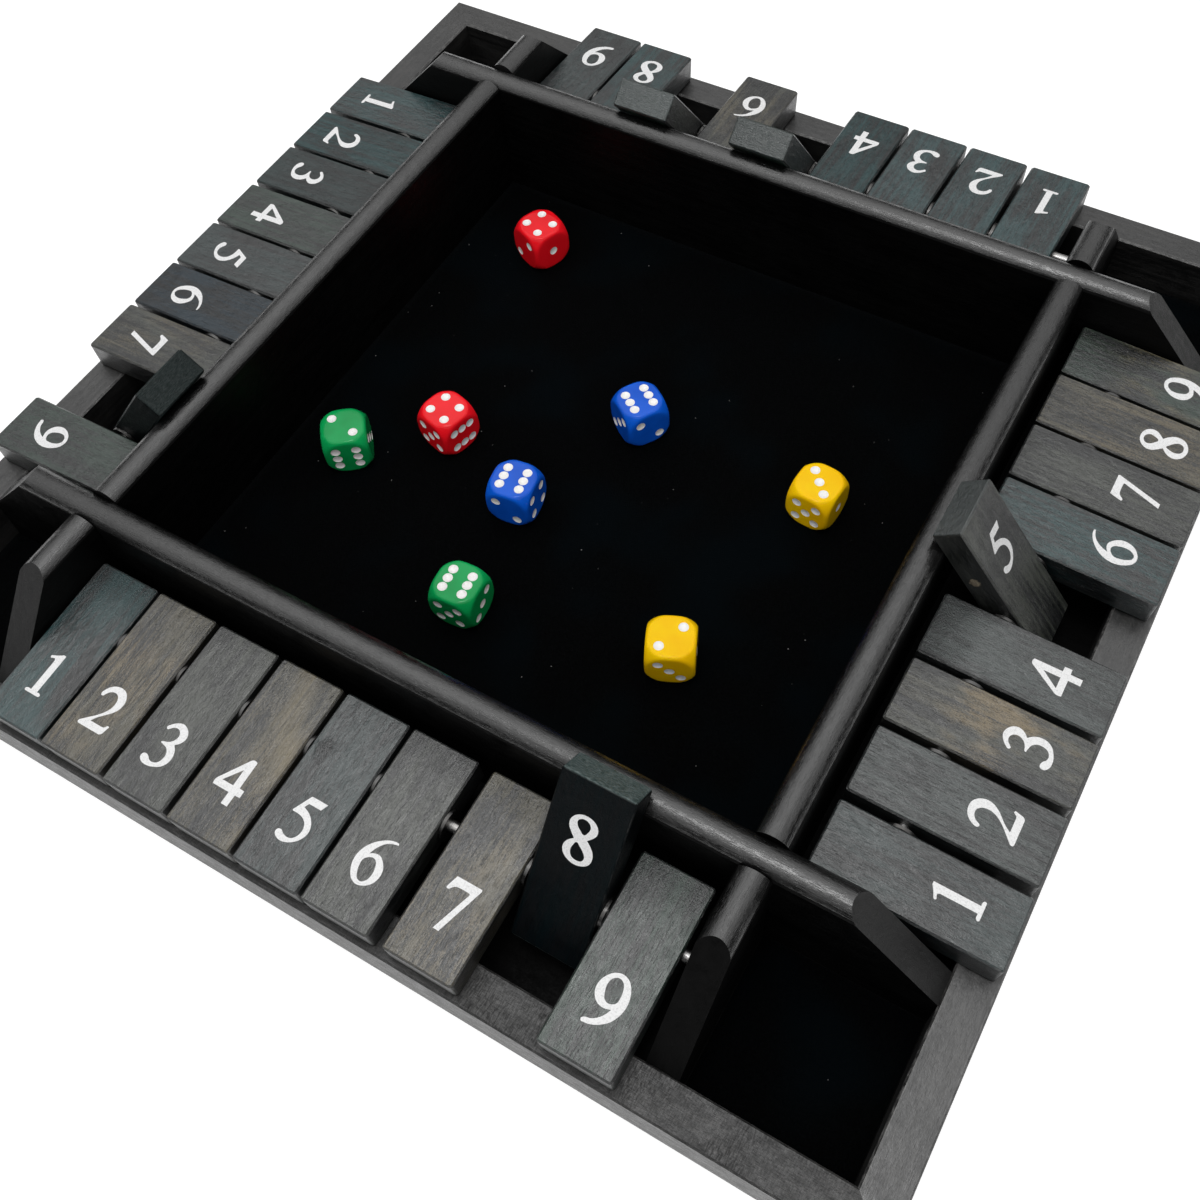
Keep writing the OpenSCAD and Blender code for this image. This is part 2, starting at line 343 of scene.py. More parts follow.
def tile_material(name, gloss):
    s = stained_wood(name, tile_grain, grey(0.003, -0.2), tile_tone, grey(0.06, 0.03), tile_edge, 0.37, 0.09,
                     gloss, tile_crinkle, (2.3, 3.0, 3.0))
    colour = s.surface.inputs["Base Color"].links[0].from_socket
    place = s.attribute("place")
    along, across, up = s.parts(place)
    g = tile_grain(s)
    wander = s.noise(s.scaled(g, (0.05, 0.05, 0.05)), 1.0, 2.0)
    bent = s.maths("MULTIPLY_ADD", s.maths("SUBTRACT", wander, 0.5), 5.0, across)
    slant = s.maths("MULTIPLY_ADD", along, STREAK_SLANT, bent)
    off = s.maths("ABSOLUTE", s.maths("SUBTRACT", slant, s.attribute("streak", "Fac")))
    fibres = s.noise(s.scaled(g, (0.05, 1.4, 1.4)), 1.0, 3.0, 0.6)
    stripe = s.maths("MULTIPLY", s.step(off, 0.6, 5.0, 1.0, 0.0), s.step(fibres, 0.34, 0.66, 0.45, 1.0))
    stripe = s.maths("MULTIPLY", stripe, s.step(along, -11.0, 4.0))
    colour = s.mix(s.maths("MULTIPLY", stripe, 0.85), colour, STREAK)
    scuff_gap = s.maths("MULTIPLY_ADD", s.noise(s.scaled(g, (0.25, 0.5, 0.5)), 1.0, 4.0, 0.7), 9.0, gap_to(s, 4.1, 0.6, 4.3))
    scuff = s.maths("MULTIPLY", s.step(scuff_gap, 5.0, 8.0, 1.0, 0.0), s.attribute("scuff", "Fac"))
    colour = s.mix(s.maths("MULTIPLY", scuff, 0.8), colour, grey(0.001))
    chip_gap = s.maths("MULTIPLY_ADD", s.noise(s.scaled(g, (1.2, 1.2, 1.2)), 1.0, 2.0), 1.0, gap_to(s, 0.0, -14.5, 0.7))
    chip = s.maths("MULTIPLY", s.step(chip_gap, 1.7, 2.1, 1.0, 0.0), s.attribute("chip", "Fac"))
    bare = s.mix(s.step(fibres, 0.35, 0.6), (0.30, 0.22, 0.14, 1.0), (0.80, 0.66, 0.46, 1.0))
    colour = s.mix(chip, colour, bare)
    saw = s.noise(s.scaled(g, (1.0, 0.7, 3.2)), 1.0, 3.0, 0.65)
    ends = end_grain(s)
    # Painted shade: the tile's sides and ends are darkened almost to black, where they face their neighbours across
    # narrow gaps
    sides = s.step(s.maths("ABSOLUTE", across), TILE_W / 2 - 0.35, TILE_W / 2 - 0.1)
    colour = s.mix(s.maths("MULTIPLY", s.maths("MAXIMUM", sides, ends), 0.8), colour, grey(0.002, -0.2))
    # Painted light: the grey of sawn end grain, shown most on the ends that flipped tiles turn up to the light
    lit_end_colour = s.mix(s.step(saw, 0.38, 0.66), (0.032, 0.050, 0.048, 1.0), (0.105, 0.130, 0.127, 1.0))
    colour = s.mix(s.maths("MULTIPLY", ends, s.attribute("raised", "Fac")), colour, lit_end_colour)
    normal = s.surface.inputs["Normal"].links[0].from_socket
    normal = s.bump(s.maths("MULTIPLY", ends, saw), 0.00022, 1.0, normal)
    normal = s.bump(s.maths("MULTIPLY", scuff, s.noise(s.scaled(g, (1.2, 1.6, 1.6)), 1.0, 3.0)), 0.0004, 1.0, normal)
    s.principled(base_color=colour, normal=normal)
    return s.material


def frame_wear(s):
    """Fine saw marks across the top of the front wall, in patches where the lacquer is thin."""
    x, y, z = s.parts(s.place())
    marks = s.noise(s.joined(s.maths("MULTIPLY", x, 3.0), s.maths("MULTIPLY", y, 0.5), 0.0), 1.0, 3.0, 0.65)
    patches = s.noise(s.scaled(s.place(), (0.05, 0.05, 0.05)), 1.0, 2.0)
    share = s.maths("MULTIPLY", s.step(marks, 0.38, 0.68), s.step(patches, 0.36, 0.56, 0.4, 1.0))
    return s.maths("MULTIPLY", share, s.step(z, FRAME_H - 0.6, FRAME_H - 0.3))


def frame_material():
    return stained_wood("frame_wood", frame_grain, grey(0.004), grey(0.020, 0.03), grey(0.09, 0.02), frame_edge, 0.36,
                        0.04, 0.8, None, (1.6, 3.2, 3.2)).material


def front_material():
    return stained_wood("front_wood", frame_grain, grey(0.005), grey(0.022, 0.04), grey(0.05, 0.02), frame_edge, 0.40,
                        0.05, 0.50, None, (1.6, 3.2, 3.2), frame_wear).material


def divider_materials(axis):
    """The finishes of a divider's crown, sides and sloped ends. The sides take a darker, duller copy of the crown's
    wood, which paints the shade that falls on them.
    """
    name = "divider_wood_" + "xy"[axis]
    grain = divider_grain(axis)
    brushed = (0.45, 3.0, 3.0)
    return [
        stained_wood(name, grain, grey(0.001), grey(0.005), grey(0.01), None, 0.24, 0.045, 0.75, None,
                     brushed).material,
        # A darker, duller copy of the crown's wood: painted shade on the sides
        stained_wood(name + "_shaded_side", grain, grey(0.0006), grey(0.002), grey(0.01), None, 0.42, 0.03, 0.10, None,
                     brushed).material,
        stained_wood(name + "_end", grain, grey(0.002), grey(0.006), grey(0.01), None, 0.45, 0.06, 0.45, None,
                     (2.5, 2.5, 1.2)).material,
    ]


def panel_material():
    return stained_wood("panel_wood", divider_grain(0), grey(0.0006), grey(0.002), grey(0.01), None, 0.6, 0.03, 0.06).material


def felt_material():
    """Black felt: short matted wool with a faint blue sheen and a little lint."""
    s = Shader("felt")
    p = s.place()
    wool = s.noise(s.scaled(p, (2.2, 2.2, 2.2)), 1.0, 4.0, 0.7)
    patches = s.noise(s.scaled(p, (0.03, 0.03, 0.03)), 1.0, 2.0)
    fibres = s.noise(s.scaled(p, (5.0, 5.0, 5.0)), 1.0, 2.0, 0.6, 0.6)
    colour = s.mix(s.step(wool, 0.35, 0.7), grey(0.0004, -0.10), grey(0.0018, -0.12))
    colour = s.mix(s.maths("MULTIPLY", s.step(patches, 0.45, 0.7), 0.5), colour, (0.0008, 0.0026, 0.0038, 1.0))
    cells = s.node("ShaderNodeTexVoronoi", {"Vector": p, "Scale": 0.20}, feature="F1").outputs["Distance"]
    picked = s.noise(s.scaled(p, (0.1, 0.1, 0.1)), 1.0, 1.0)
    speck = s.maths("MULTIPLY", s.step(cells, 0.014, 0.036, 1.0, 0.0), s.step(picked, 0.42, 0.52))
    colour = s.mix(speck, colour, grey(0.30, 0.03))
    height = s.maths("ADD", s.maths("MULTIPLY", wool, 0.6), s.maths("MULTIPLY", fibres, 0.4))
    s.principled(base_color=colour, roughness=0.95, normal=s.bump(height, 0.0004, 0.9), specular_ior_level=0.02,
                 sheen_weight=0.006, sheen_roughness=0.5, sheen_tint=(0.8, 0.9, 1.0, 1.0))
    return s.material


def steel_material(name, turned, level):
    """Bright turned steel with fine rings round it and a little haze."""
    s = Shader(name)
    p = s.place()
    haze = s.noise(s.scaled(p, (0.3, 0.3, 0.3)), 1.0, 3.0)
    rings = s.noise(s.scaled(p, turned), 1.0, 2.0, 0.6)
    colour = s.mix(s.step(haze, 0.3, 0.7), grey(level, 0.01), grey(level * 0.8, 0.03))
    s.principled(base_color=colour, metallic=1.0, roughness=s.step(rings, 0.3, 0.7, 0.24, 0.42),
                 normal=s.bump(rings, 0.00003, 0.4))
    return s.material


def plastic_material(name, bright, deep, gloss=0.24):
    """Polished moulded plastic, its colour drifting in broad swirls between a bright and a deeper tone."""
    s = Shader(name)
    p = s.attribute("place")
    flow = s.noise(s.scaled(p, (0.12, 0.12, 0.12)), 1.0, 2.0)
    orange_peel = s.noise(s.scaled(p, (0.9, 0.9, 0.9)), 1.0, 2.0)
    scuffs = s.noise(s.scaled(p, (0.5, 3.0, 0.5)), 1.0, 3.0, 0.7)
    colour = s.mix(s.step(flow, 0.3, 0.75), bright, deep)
    s.principled(base_color=colour, roughness=s.step(scuffs, 0.45, 0.75, 0.07, 0.14), normal=s.bump(orange_peel, 0.00003, 0.25),
                 specular_ior_level=gloss, ior=1.5)
    return s.material


def pip_material():
    s = Shader("pip_paint")
    p = s.attribute("place")
    pool = s.noise(s.scaled(p, (1.2, 1.2, 1.2)), 1.0, 2.0)
    s.principled(base_color=s.mix(s.step(pool, 0.35, 0.7), grey(0.84, 0.01), grey(0.76, 0.03)), roughness=0.35,
                 normal=s.bump(pool, 0.00005, 0.4))
    return s.material


def numeral_material():
    s = Shader("numeral_paint")
    p = s.place()
    thin = s.noise(s.scaled(p, (2.4, 2.4, 2.4)), 1.0, 4.0, 0.7)
    s.principled(base_color=s.mix(s.step(thin, 0.30, 0.55), grey(0.60), grey(0.80)), roughness=0.5,
                 normal=s.bump(thin, 0.00006, 0.5), specular_ior_level=0.35)
    return s.material


# Meshes

def new_object(name, bm, materials, smooth=True):
    mesh = bpy.data.meshes.new(name)
    bm.to_mesh(mesh)
    bm.free()
    for m in materials:
        mesh.materials.append(m)
    if smooth:
        mesh.shade_smooth()
    made = bpy.data.objects.new(name, mesh)
    bpy.context.scene.collection.objects.link(made)
    return made


def applied(obj):
    """The object's mesh with its modifiers applied."""
    graph = bpy.context.evaluated_depsgraph_get()
    return bpy.data.meshes.new_from_object(obj.evaluated_get(graph), depsgraph=graph)


def add_vector(mesh, name, values):
    found = mesh.attributes.new(name, "FLOAT_VECTOR", "POINT")
    found.data.foreach_set("vector", [c for v in values for c in v])


def add_same(mesh, name, kind, value):
    found = mesh.attributes.new(name, kind, "POINT")
    count = len(mesh.vertices)
    if kind == "FLOAT":
        found.data.foreach_set("value", [value] * count)
    else:
        found.data.foreach_set("color", list(value) * count)


# Number tiles

TILE_EDGE = 0.5
TILE_CORNER = 0.9

# Colours of the stain where it is lightest on a tile
TONES = {
    "sea": (0.004, 0.036, 0.038, 1.0),
    "teal": (0.014, 0.048, 0.051, 1.0),
    "stone": (0.034, 0.044, 0.042, 1.0),
    "slate": (0.014, 0.027, 0.027, 1.0),
    "moss": (0.012, 0.030, 0.020, 1.0),
    "ash": (0.040, 0.044, 0.036, 1.0),
    "umber": (0.062, 0.056, 0.036, 1.0),
    "navy": (0.002, 0.014, 0.024, 1.0),
    # Near black, for the flipped front_8 whose turned-up underside lies in shade: painted shade
    "shaded_pitch": (0.0005, 0.003, 0.004, 1.0),
}
TILE_TONES = {
    "front": ["sea", "umber", "ash", "umber", "slate", "ash", "umber", "shaded_pitch", "moss"],
    "right": ["slate", "stone", "ash", "stone", "ash", "sea", "ash", "umber", "moss"],
    "back": ["teal", "teal", "teal", "sea", "moss", "ash", "moss", "sea", "slate"],
    "left": ["sea", "sea", "slate", "moss", "slate", "navy", "ash", "slate", "moss"],
}

# Tiles whose lacquer is thin, so that they show less of the light, and flipped tiles whose turned-up undersides take a
# dull copy of the wood that hardly reflects: painted shade
SATIN_TILES = ["left_2", "left_3", "left_6", "back_4"]
SHADED_FLIP_TILES = ["front_8", "left_8"]

# Marks on single tiles: brown patches, wrinkled lacquer at the inner end, a brown streak at
# a distance from the middle, a dark scuff and a chip down to the bare wood
BROWN = {"front_2": 0.7, "front_4": 0.4, "front_7": 0.5, "right_3": 1.0, "right_8": 0.4, "right_9": 0.5, "back_6": 0.3,
         "left_7": 0.4}
CRINKLE = {"front_1": 0.9, "front_7": 0.3, "front_9": 0.4, "right_4": 0.9, "front_2": 0.15, "front_6": 0.2}
FAR_OFF = 1000.0
STREAK_AT = {"front_4": 7.0}
SCUFF = {"front_5": 1.0}
CHIP = {"right_5": 1.0}

# How far the grey of sawn end grain shows on each tile's ends: painted light, strongest where a flipped tile's end
# turns up to the light, while the other tiles keep dark, shaded ends
END_LIGHT = {"front_8": 1.0, "right_5": 0.3, "back_5": 0.35, "back_7": 0.5, "left_8": 0.25}


def tile_mesh(wood):
    """A tile about its pivot, with its outer end towards -Y, in millimetres."""
    bm = bmesh.new()
    bmesh.ops.create_cube(bm, size=1.0)
    length = TILE_OUTER + TILE_INNER
    middle_y = (TILE_INNER - TILE_OUTER) / 2
    bmesh.ops.transform(bm, verts=bm.verts, matrix=Matrix.Translation((TILE_W / 2, middle_y, 0)) @
                        Matrix.Diagonal((TILE_W, length, TILE_T, 1)))
    upright = [e for e in bm.edges if abs(e.verts[0].co.z - e.verts[1].co.z) > 1]
    bmesh.ops.bevel(bm, geom=upright, offset=TILE_CORNER, segments=4, profile=0.5, affect="EDGES")
    rims = [e for e in bm.edges if abs(e.verts[0].co.z - e.verts[1].co.z) < 0.01 and
            any(abs(f.normal.z) > 0.9 for f in e.link_faces)]
    bmesh.ops.bevel(bm, geom=rims, offset=TILE_EDGE, segments=2, profile=0.25, affect="EDGES")
    body = new_object("tile_blank", bm, [wood])
    cutter_bm = bmesh.new()
    bmesh.ops.create_cone(cutter_bm, cap_ends=True, segments=32, radius1=BORE_D / 2, radius2=BORE_D / 2, depth=TILE_W + 4)
    bmesh.ops.transform(cutter_bm, verts=cutter_bm.verts, matrix=Matrix.Translation((TILE_W / 2, 0, 0)) @
                        Matrix.Rotation(math.radians(90), 4, "Y"))
    cutter = new_object("tile_bore", cutter_bm, [wood])
    cut = body.modifiers.new("bore", "BOOLEAN")
    cut.operation = "DIFFERENCE"
    cut.solver = "EXACT"
    cut.object = cutter
    mesh = applied(body)
    mesh.set_sharp_from_angle(angle=math.radians(35))
    middle = Vector((TILE_W / 2, middle_y, 0))
    add_vector(mesh, "place", [((v.co - middle).y, (v.co - middle).x, (v.co - middle).z) for v in mesh.vertices])
    for o in (body, cutter):
        bpy.data.objects.remove(o)
    return mesh


def tile_left(side, n):
    return -TRAY_HALF + 0.1 * sum(PLAY[side][:n]) + (n - 1) * TILE_STEP


def tile_matrix(side, n):
    """From a tile's own millimetres to its place in metres."""
    turn = OPEN_DIP - (SHUT_TURN if n in SHUT[side] else 0)
    round_board = Matrix.Rotation(math.radians(90 * SIDES.index(side)), 4, "Z")
    to_rod = Matrix.Translation((tile_left(side, n), -ROD_R, ROD_Z))
    return Matrix.Scale(MM, 4) @ round_board @ to_rod @ Matrix.Rotation(math.radians(turn), 4, "X")


def make_tiles(wood, satin_wood, shaded_wood):
    blank = tile_mesh(wood)
    for i, side in enumerate(SIDES):
        for n in range(1, 10):
            mesh = blank.copy()
            mark = f"{side}_{n}"
            if mark in SATIN_TILES:
                mesh.materials[0] = satin_wood
            if mark in SHADED_FLIP_TILES:
                mesh.materials[0] = shaded_wood
            mesh.transform(tile_matrix(side, n))
            add_same(mesh, "seed", "FLOAT", 61.7 * (9 * i + n))
            add_same(mesh, "tint", "FLOAT_COLOR", TONES[TILE_TONES[side][n - 1]])
            add_same(mesh, "brown", "FLOAT", BROWN.get(mark, 0.0))
            add_same(mesh, "crinkle", "FLOAT", CRINKLE.get(mark, 0.0))
            add_same(mesh, "streak", "FLOAT", STREAK_AT.get(mark, FAR_OFF))
            add_same(mesh, "scuff", "FLOAT", SCUFF.get(mark, 0.0))
            add_same(mesh, "chip", "FLOAT", CHIP.get(mark, 0.0))
            add_same(mesh, "raised", "FLOAT", END_LIGHT.get(mark, 0.05))
            name = f"{side}_tile_{n}"
            made = bpy.data.objects.new(name + "_wood", mesh)
            bpy.context.scene.collection.objects.link(made)
            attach(made, name)
            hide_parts(name)
    bpy.data.meshes.remove(blank)


# Numerals: outlines in hundredths of the height of a numeral, up from its foot and right
# from its middle. A point with a third value is a corner.
NUMERAL_H = 12.3
NUMERAL_FOOT = 23.1
NUMERAL_T = 0.04

NUMERALS = {
    1: [[(3, 100.3, 1), (9, 100.3, 1), (9, 9.5, 1), (17, 9), (19.8, 5.5), (17, 2), (-17, 2), (-20, 5.5), (-17, 9),
         (-7, 9.5, 1), (-7, 81.5, 1), (-9.5, 85.5), (-14, 85.2), (-19, 83.6), (-21.3, 86.2), (-19, 89.3), (-8, 94)]],
    2: [[(-28, 69), (-30.5, 73), (-28.5, 81), (-23, 90), (-14, 97), (0, 100.5), (14, 97.5), (24, 87.5), (28.3, 74),
         (26, 60), (18, 47.5), (6, 35.5), (-3, 26), (-10.5, 15, 1), (17, 15), (25, 16.5), (28, 20.5), (30.5, 22.5),
         (33.5, 20.5), (31.5, 12), (28, 2), (23, -0.5), (-29, -0.5), (-33, 1.5), (-32, 7), (-20, 18), (-6, 31),
         (4, 43), (10, 55), (11.5, 67), (8.5, 78), (1, 85), (-8, 85.5), (-17, 80.5), (-21.5, 74), (-24, 69.5)]],
    3: [[(-18.5, 75.5), (-21.8, 79), (-17.5, 86), (-7, 95), (5, 99), (17, 95.5), (26.5, 86.5), (29.5, 76), (25, 63.5),
         (16.5, 55.5, 1), (24.5, 46.5), (29.8, 33), (29, 20), (22, 8), (9, 0), (-8, -4.5), (-23, -2), (-30, 5),
         (-28.5, 13), (-22, 15), (-15.5, 12.5), (-9, 7.5), (0, 6), (9.5, 11), (14.3, 23), (12.5, 35), (5, 43),
         (-6, 46.3), (-12, 48.5), (-9.5, 51.3), (-1, 53.5), (8.5, 60.5), (13, 72), (9.5, 81.5), (1, 86), (-8, 84),
         (-13.5, 79)]],
    4: [[(17, 105.8), (21.5, 102.5), (22, 46, 1), (33.8, 45.5, 1), (34.3, 30.5, 1), (22.5, 30, 1), (22.5, 5, 1),
         (7.5, 5, 1), (7.5, 30, 1), (-32, 30, 1), (-33, 38.5), (-30.5, 45), (6.5, 101), (11, 105.3)],
        [(6.3, 80, 1), (6.8, 45, 1), (-20, 45, 1)]],
    5: [[(-6, 101, 1), (31.5, 101, 1), (25, 86, 1), (-3, 86, 1), (-7.5, 76.5, 1), (5, 72), (17, 64), (26, 52.5),
         (29.8, 39), (26.5, 25), (17, 12.5), (2, 3.5), (-11, 1), (-22, 4), (-28.7, 11), (-27.5, 17.5), (-20, 19.8),
         (-13.5, 15.8), (-4, 12.7), (7, 15), (15, 25), (16.8, 37), (12, 50), (2, 57.5), (-10, 60.3), (-22.5, 60.5),
         (-24.5, 63)]],
    6: [[(30.5, 104.6, 1), (31.8, 101, 1), (21, 98.3), (9, 92), (-1, 80), (-5.5, 71), (-8.5, 62.5, 1), (0, 67),
         (11, 68.3), (24, 60), (33, 46), (34, 31), (27, 15), (14, 5.5), (2, 2.6), (-11, 7), (-21.5, 19), (-27.8, 34),
         (-29, 49), (-25.5, 64), (-17, 79), (-5, 91), (10, 100.5), (22, 104.2)],
        [(4.5, 58.8), (11, 55.5), (16.5, 45), (18.8, 32), (15.5, 18), (7, 10.7), (-1, 12), (-8.5, 22), (-12.8, 36),
         (-12.5, 48.5), (-7.5, 54.5)]],
    7: [[(-21.5, 106, 1), (32.5, 106, 1), (33.5, 102), (2.3, 5, 1), (-10.2, 5, 1), (17, 86), (15.5, 88.9), (-2, 89.3),
         (-12, 88.3), (-19, 84), (-23, 79), (-27, 78), (-29.2, 81), (-27, 89)]],
    8: [[(-4, 99.5), (9, 97.5), (19, 91), (24.5, 81), (24, 71.5), (18.5, 62.5), (10, 53.5, 1), (19.5, 45), (27.5, 34),
         (30, 21.5), (27, 9.5), (17, 0.5), (2, -4), (-12, -2), (-23.5, 5), (-30, 15.5), (-30, 26.5), (-25, 36.5),
         (-14.5, 46, 1), (-23.5, 56), (-31, 67.5), (-31.8, 78.5), (-27, 88.5), (-17, 96.5)],
        [(-5, 91.3), (4, 88.5), (9.3, 81), (7.5, 70), (1, 61), (-8, 66.5), (-16.5, 76), (-17.5, 83), (-12, 89.5)],
        [(-7, 41), (0, 36), (9, 28), (14.8, 18), (12, 9), (2, 5.5), (-9, 8.5), (-14.3, 18), (-13, 31)]],
    9: [[(-25.2, 1.5), (-24, -2.5), (-16, -3), (-4, -0.3), (9, 6.5), (22, 17.5), (31, 33), (35.3, 50), (34.5, 66),
         (28.5, 83), (18, 95.5), (4, 100), (-9.5, 96.5), (-21, 85.5), (-27.8, 71.5), (-28.3, 57), (-22.5, 44),
         (-11, 35.5), (1, 33.8), (14.3, 37.5, 1), (9, 26), (0, 15), (-10, 8.2), (-21, 5)],
        [(3, 91), (10.5, 87.5), (16.5, 76.5), (18.5, 63.5), (17, 51.5), (11.5, 46.5), (3, 44.3), (-4.5, 47.5),
         (-10.5, 58.5), (-13.3, 72), (-11.5, 82), (-5, 89)]],
}

# How far each side's numerals stand right of the middle of their tiles, in millimetres
NUMERAL_OFF = {
    "front": [-0.4, -0.3, -0.8, -0.5, -0.3, 0.0, -0.3, 0.1, 0.0],
    "right": [0.7, 0.75, 0.5, 0.0, -0.6, 0.6, 0.1, 0.2, 0.2],
    "back": [0.3, -0.2, 0.2, 0.0, 0.3, 0.1, -0.3, 0.2, 0.0],
    "left": [0.2, 0.4, -0.3, 0.1, 0.3, 0.2, 0.3, 0.0, -0.2],
}


LONG_SIDE = 2.2


def curve_points(loop, steps=6):
    """A closed line through the points, smooth at each but the corners. A side much longer
    than the next one stays straight."""
    count = len(loop)
    at = [Vector(p[:2]) for p in loop]
    ways = []
    for i in range(count):
        before, after = at[i] - at[i - 1], at[(i + 1) % count] - at[i]
        way = before.normalized() / before.length + after.normalized() / after.length
        if before.length > LONG_SIDE * after.length:
            way = before
        elif after.length > LONG_SIDE * before.length:
            way = after
        ways.append(None if len(loop[i]) > 2 else way.normalized())
    line = []
    for i in range(count):
        j = (i + 1) % count
        a, b = at[i], at[j]
        reach = (b - a).length / 3
        straight = (b - a).normalized()
        c = a + (ways[i] or straight) * reach
        d = b - (ways[j] or straight) * reach
        parts = 1 if ways[i] is None and ways[j] is None else steps
        for k in range(parts):
            t = k / parts
            line.append(a * (1 - t) ** 3 + c * 3 * t * (1 - t) ** 2 + d * 3 * t * t * (1 - t) + b * t ** 3)
    return line


def numeral_mesh(n, paint):
    """A thin numeral in the XY plane, its foot at y 0 and its middle at x 0, in millimetres."""
    bm = bmesh.new()
    edges = []
    for loop in NUMERALS[n]:
        points = [bm.verts.new((p.x * NUMERAL_H / 100, p.y * NUMERAL_H / 100, 0)) for p in curve_points(loop)]
        edges += [bm.edges.new((points[i - 1], points[i])) for i in range(len(points))]
    bmesh.ops.triangle_fill(bm, edges=edges, use_beauty=True, use_dissolve=False)
    for f in bm.faces:
        if f.normal.z < 0:
            f.normal_flip()
    grown = bmesh.ops.extrude_face_region(bm, geom=list(bm.faces))
    raised = [g for g in grown["geom"] if isinstance(g, bmesh.types.BMVert)]
    bmesh.ops.translate(bm, verts=raised, vec=(0, 0, NUMERAL_T))
    bmesh.ops.recalc_face_normals(bm, faces=bm.faces)
    return bm


def make_numerals(paint):
    shapes = {}
    for n in range(1, 10):
        shape = new_object(f"numeral_{n}", numeral_mesh(n, paint), [paint], smooth=False)
        shapes[n] = shape.data
        bpy.data.objects.remove(shape)
    for side in SIDES:
        for n in range(1, 10):
            across = TILE_W / 2 + NUMERAL_OFF[side][n - 1]
            above = Matrix.Translation((across, -NUMERAL_FOOT, TILE_T / 2 - 0.01))
            below = Matrix.Translation((across, NUMERAL_H - NUMERAL_FOOT, 0.01 - TILE_T / 2))
            bm = bmesh.new()
            for stand in (above, below @ Matrix.Rotation(math.radians(180), 4, "X")):
                part = shapes[n].copy()
                part.transform(tile_matrix(side, n) @ stand)
                bm.from_mesh(part)
                bpy.data.meshes.remove(part)
            name = f"{side}_tile_{n}"
            made = new_object(f"{side}_numeral_{n}", bm, [paint], smooth=False)
            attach(made, name)


# Dice

DIE_FILLET = 1.0
DIE_CELLS = 15
FACE_UP = [(0, 0), (-90, 0), (0, -90), (0, 90), (90, 0), (180, 0)]


def face_up(face):
    """Turns a die so that the given face is up."""
    x, y = FACE_UP[face - 1]
    return Matrix.Rotation(math.radians(y), 4, "Y") @ Matrix.Rotation(math.radians(x), 4, "X")


def pip_steps(face):
    steps = [(-1, 1), (1, -1)] if face > 1 else []
    steps += [(1, 1), (-1, -1)] if face > 3 else []
    steps += [(-1, 0), (1, 0)] if face == 6 else []
    return steps + ([(0, 0)] if face % 2 else [])


def rounded_point(p):
    """Draws a point of the die's cube in to its fillets, and its corners in to the ball."""
    flat = DIE_W / 2 - DIE_FILLET
    core = Vector([max(-flat, min(flat, c)) for c in p])
    out = p - core
    q = core + out.normalized() * DIE_FILLET if out.length > 1e-6 else p
    ball, soft = DIE_BALL_D / 2 - 0.10, 0.20
    reach = q.length
    return q * ((reach - soft * math.log(1 + math.exp((reach - ball) / soft))) / reach)


def die_mesh(plastic, paint):
    bm = bmesh.new()
    half = DIE_W / 2
    lines = [k / DIE_CELLS for k in range(-DIE_CELLS, DIE_CELLS + 1)]
    for axis in range(3):
        for sign in (-1, 1):
            grid = []
            for a in lines:
                row = []
                for b in lines:
                    p = [0.0, 0.0, 0.0]
                    p[axis], p[(axis + 1) % 3], p[(axis + 2) % 3] = sign * half, a * half, b * half
                    row.append(bm.verts.new(rounded_point(Vector(p))))
                grid.append(row)
            for i in range(len(lines) - 1):
                for j in range(len(lines) - 1):
                    ring = [grid[i][j], grid[i + 1][j], grid[i + 1][j + 1], grid[i][j + 1]]
                    bm.faces.new(ring if sign > 0 else ring[::-1])
    bmesh.ops.remove_doubles(bm, verts=bm.verts, dist=0.001)
    bmesh.ops.recalc_face_normals(bm, faces=bm.faces)
    body = new_object("die_blank", bm, [plastic, paint])
    ball_r = ((PIP_D / 2) ** 2 + PIP_DEPTH ** 2) / (2 * PIP_DEPTH)
    cut_bm = bmesh.new()
    for face in range(1, 7):
        for step in pip_steps(face):
            at = Matrix.Translation((PIP_PITCH * step[0], PIP_PITCH * step[1], half - PIP_DEPTH + ball_r))
            found = bmesh.ops.create_uvsphere(cut_bm, u_segments=32, v_segments=32, radius=ball_r)
            bmesh.ops.transform(cut_bm, verts=found["verts"], matrix=face_up(face).inverted() @ at)
    for f in cut_bm.faces:
        f.material_index = 1
        f.smooth = True
    cutter = new_object("die_pips", cut_bm, [plastic, paint])
    cut = body.modifiers.new("pips", "BOOLEAN")
    cut.operation = "DIFFERENCE"
    cut.solver = "EXACT"
    cut.use_self = True
    cut.object = cutter
    mesh = applied(body)
    mesh.set_sharp_from_angle(angle=math.radians(24))
    add_vector(mesh, "place", [v.co.copy() for v in mesh.vertices])
    for o in (body, cutter):
        bpy.data.objects.remove(o)
    return mesh


def make_dice(plastics, paint):
    blank = die_mesh(plastics["red"], paint)
    for name, (colour, share, face, turn) in DICE.items():
        mesh = blank.copy()
        mesh.materials[0] = plastics[colour]
        at = Matrix.Translation((TRAY_HALF * share[0], TRAY_HALF * share[1], FLOOR_Z + DIE_W / 2))
        mesh.transform(Matrix.Scale(MM, 4) @ at @ Matrix.Rotation(math.radians(turn), 4, "Z") @ face_up(face))
        made = bpy.data.objects.new(name + "_body", mesh)
        bpy.context.scene.collection.objects.link(made)
        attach(made, name)
        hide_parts(name)
    bpy.data.meshes.remove(blank)


# Felt

